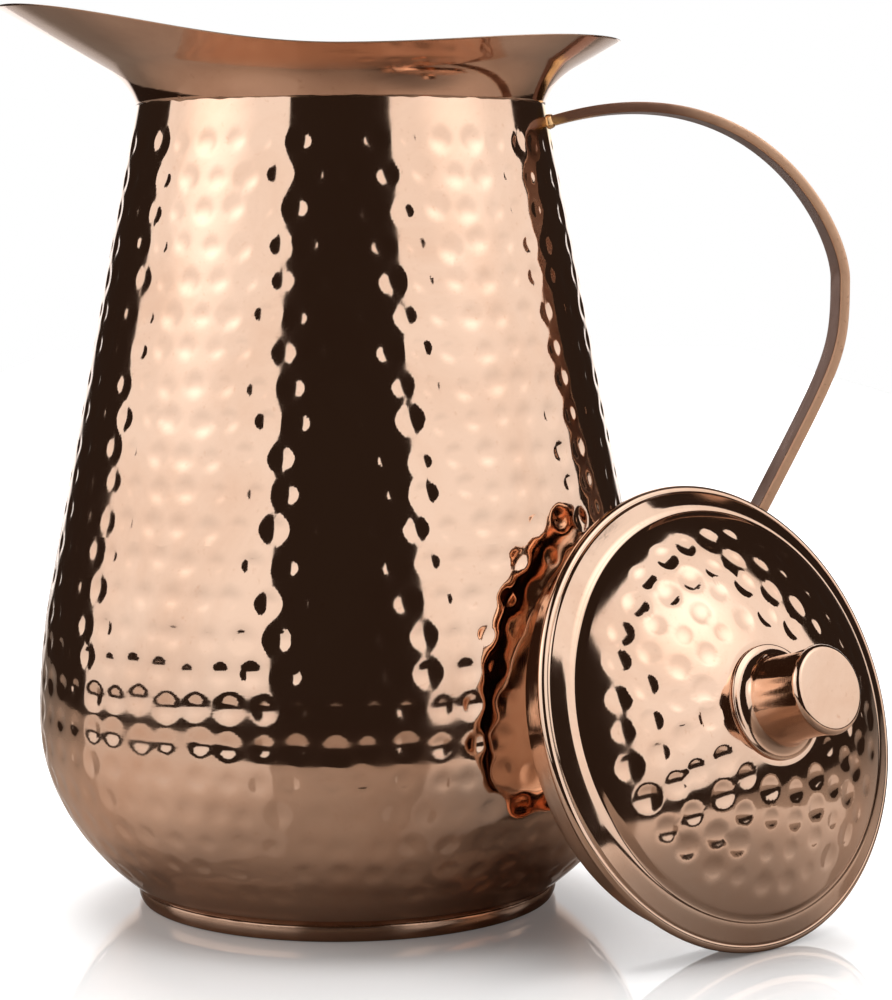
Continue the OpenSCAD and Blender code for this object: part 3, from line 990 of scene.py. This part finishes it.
def make_lid_dome():
    around = 560
    top = [(hole_r, dome_h), (hole_r + 0.003, dome_h), (seat_r - 0.0006, dome_h)]
    top += [(r, dome_height(r)) for r in np.linspace(seat_r, dome_edge.x - 0.0004, 72)]
    top += [(dome_edge.x, dome_edge.y - 0.0001), (step_r - 0.0008, flange_rise + 0.0005),
            (step_r - 0.0002, flange_rise + 0.00006), (step_r + 0.0003, flange_rise - 0.00002)]
    top += [(step_r + step / 2, flange_rise - 0.00006)]
    flange_in = Vector((step_r + step / 2, flange_rise))
    flange_out = Vector((roll_mid_r, roll_r))
    top += [tuple(flange_in.lerp(flange_out, t)) for t in (0.2, 0.4, 0.6, 0.8, 0.92)]
    # The bead turns out past the flange, down and back in under it
    bead = []
    for degrees in range(112, -184, -13):
        a = math.radians(degrees)
        bead.append((roll_mid_r + roll_r * math.cos(a), roll_r * math.sin(a)))
    under = [(roll_mid_r - roll_r + 0.0002, roll_r - lid_sheet)]
    under += [(flange_in.x, flange_rise - lid_sheet), (step_r, flange_rise - lid_sheet)]
    under += [(r, dome_height(r) - lid_sheet) for r in np.linspace(dome_edge.x - 0.0009, seat_r, 14)]
    under += [(hole_r, dome_h - lid_sheet)]
    outline = top + bead + under
    dome = lathe("lid_dome", outline, around)
    struck = np.zeros((len(outline), around))
    away = np.zeros((len(outline), around, 3))
    angle = np.linspace(0, 2 * math.pi, around, endpoint=False)
    for i, (r, z) in enumerate(top):
        if seat_r <= r < dome_edge.x:
            normal = (Vector((r, z)) - dome_mid).normalized()
            away[i] = np.c_[normal.x * np.cos(angle), normal.x * np.sin(angle), np.full(around, normal.y)]
            struck[i] = 1.0
    dice = np.random.default_rng(17)

    def point_at(r, angle):
        return (r * math.cos(angle), r * math.sin(angle), dome_height(r))

    rings = np.arange(0.0404, 0.0205, -0.0066)
    marks = hammer_rows(0.0080, rings, lambda r: r, point_at, dice)
    finish = metal(
        "lid_copper", copper, rough=(0.05, 0.20),
        tarnish=(0.6, 0.5), mop=(0.05, 0.3), stretch=(1, 1, 6), turn=lid_square,
    )
    hammer(dome, marks, struck, away, finish, Radius=0.0029, Depth=0.00035, Gather=0.30, Uneven=0.7, Seed=9)
    hand_over(lean(dome), "lid", "hammered_copper", "lid_dome")


make_lid_dome()


# ---- Lid skirt --------------------------------------------------------------------------------------
# A strip rolled to a collar that drops into the mouth. Its ends are lapped and soldered, which
# leaves a raised seam down one side.
skirt_r = 0.0507
skirt_h = 0.011


def make_skirt():
    top = flange_rise - lid_sheet - 0.00005
    inside = skirt_r - lid_sheet
    outline = rounded([(inside, -skirt_h), (skirt_r, -skirt_h), (skirt_r, top), (inside, top)], 0.0004)
    side = []
    for (r0, z0), (r1, z1) in zip(outline, outline[1:] + outline[:1]):
        parts = 10 if abs(z1 - z0) > 0.005 else 1
        side += [(r0 + (r1 - r0) * k / parts, z0 + (z1 - z0) * k / parts) for k in range(parts)]
    skirt = lathe("lid_skirt", side, 480)
    seam = math.radians(150)
    for point in skirt.data.vertices:
        angle = (math.atan2(point.co.y, point.co.x) - seam + math.pi) % (2 * math.pi) - math.pi
        # The outside stands a quarter of a millimetre lower everywhere but at the lap
        if math.hypot(point.co.x, point.co.y) > skirt_r - lid_sheet / 2:
            lap = 0.5 - 0.5 * math.tanh((abs(angle) - 0.026) / 0.006)
            point.co.xy *= 1 - 0.005 * (1 - lap)
        point.co.xy *= 1 - 0.0012 * (0.5 + 0.5 * math.sin(4 * angle + 1))
    skirt.data.materials.append(
        metal(
            "skirt_copper", copper, rough=(0.09, 0.24),
            tarnish=(1.0, 0.8), mop=(0.3, 0.9), stretch=(1, 1, 20), turn=lid_square,
        )
    )
    hand_over(lean(skirt), "lid", "polished_copper", "lid_skirt")


make_skirt()


# ---- Knob ---------------------------------------------------------------------------------------------
# Turned from copper bar with a thin lip, a small cove and a slightly waisted stem, and polished on
# the lathe. A screw from inside the lid holds it.
knob_h = 0.0182
knob_r = 0.0104
knob_waist = 0.0005
knob_lip_r = 0.0135
knob_round = 0.0015


def make_knob():
    lip = 0.0008
    cove = knob_lip_r - knob_r
    waist = knob_r - knob_waist
    head = knob_h - knob_round
    line = [(hole_r, 0.00002), (0.008, 0.00002), (knob_lip_r - 0.0002, 0.00002)]
    line += [(knob_lip_r - 0.00005, 0.0002), (knob_lip_r, 0.0004)]
    line += [(knob_lip_r - 0.00006, lip - 0.0001), (knob_lip_r - 0.0003, lip)]
    for i in range(2, 13):
        a = math.radians(90 * i / 12)
        line.append((knob_lip_r - cove * math.sin(a), lip + cove * (1 - math.cos(a))))
    for i in range(1, 21):
        u = i / 20
        line.append((waist + knob_waist * (2 * u - 1) ** 2, lip + cove + (head - lip - cove) * u))
    for i in range(1, 13):
        a = math.radians(90 * i / 12)
        line.append((knob_r - knob_round * (1 - math.cos(a)), head + knob_round * math.sin(a)))
    # The lathe tool leaves the face a hair hollow
    face_r = knob_r - knob_round
    hollow = 0.00006
    for r in (0.0075, 0.006, 0.0045, 0.003, 0.0015, 0):
        line.append((r, knob_h - hollow * (1 - (r / face_r) ** 2)))
    line += [(0, 0.011), (hole_r, 0.011)]
    knob = lathe("lid_knob", [(r, z + dome_h) for r, z in line], 192)
    knob.data.materials.append(
        metal(
            "turned_copper", copper, rough=(0.07, 0.20),
            tarnish=(0.7, 0.7), mop=(0.12, 0.35), stretch=(1, 1, 30), turn=lid_square,
        )
    )
    hand_over(lean(knob), "lid", "polished_copper", "knob")


make_knob()


# ---- Knob washer and screw ---------------------------------------------------------------------------
# Plated steel: a plain washer and a slotted pan-head screw, inside the lid.
washer_r = 0.0075
washer_t = 0.0010
screw_r = 0.0025
screw_head_r = 0.0046
screw_head_h = 0.0024
head_top = dome_h - lid_sheet - washer_t
plated = metal(
    "plated_steel", ((0.66, 0.65, 0.63), (0.38, 0.36, 0.33)), rough=(0.22, 0.42),
    tarnish=(0.8, 1.0), mop=(0.8, 1.0),
)


def make_washer():
    seat = head_top + washer_t
    outline = [(hole_r, head_top), (washer_r, head_top), (washer_r, seat), (hole_r, seat)]
    washer = lathe("knob_washer", rounded(outline, 0.00025), 96)
    washer.data.materials.append(plated)
    hand_over(lean(washer), "lid", "steel", "knob_washer")


def make_screw():
    low = head_top - screw_head_h
    line = [(0.00005, low), (0.0015, low + 0.00002), (0.003, low + 0.00015), (0.0040, low + 0.00055)]
    line += [(0.0045, low + 0.0012), (screw_head_r, low + 0.0019), (screw_head_r, head_top - 0.0001)]
    line += [(screw_head_r - 0.0002, head_top), (screw_r, head_top)]
    # Rolled thread, in the knob
    turns = np.arange(head_top + washer_t + lid_sheet, head_top + washer_t + lid_sheet + 0.0096, 0.0004)
    line += [(screw_r - (0.00025 if i % 2 else 0.0), z) for i, z in enumerate(turns)]
    line += [(screw_r - 0.0004, line[-1][1] + 0.0004), (0.00005, line[-1][1] + 0.0004)]
    screw = lathe("knob_screw", line, 64)
    outward(screw)
    # The driver slot is cut across the head
    bpy.ops.mesh.primitive_cube_add(size=1, location=(0, 0, low))
    saw = bpy.context.object
    saw.scale = (0.012, 0.001, 0.0022)
    cut = screw.modifiers.new("slot", "BOOLEAN")
    cut.operation = "DIFFERENCE"
    cut.solver = "EXACT"
    cut.object = saw
    bpy.context.view_layer.update()
    made = bpy.data.meshes.new_from_object(screw.evaluated_get(bpy.context.evaluated_depsgraph_get()))
    screw.modifiers.remove(cut)
    screw.data = made
    bpy.data.objects.remove(saw)
    made.shade_smooth()
    made.set_sharp_from_angle(angle=math.radians(40))
    made.materials.clear()
    made.materials.append(plated)
    screw.data.transform(lid_place)
    hand_over(screw, "lid", "steel", "knob_screw")


make_washer()
make_screw()
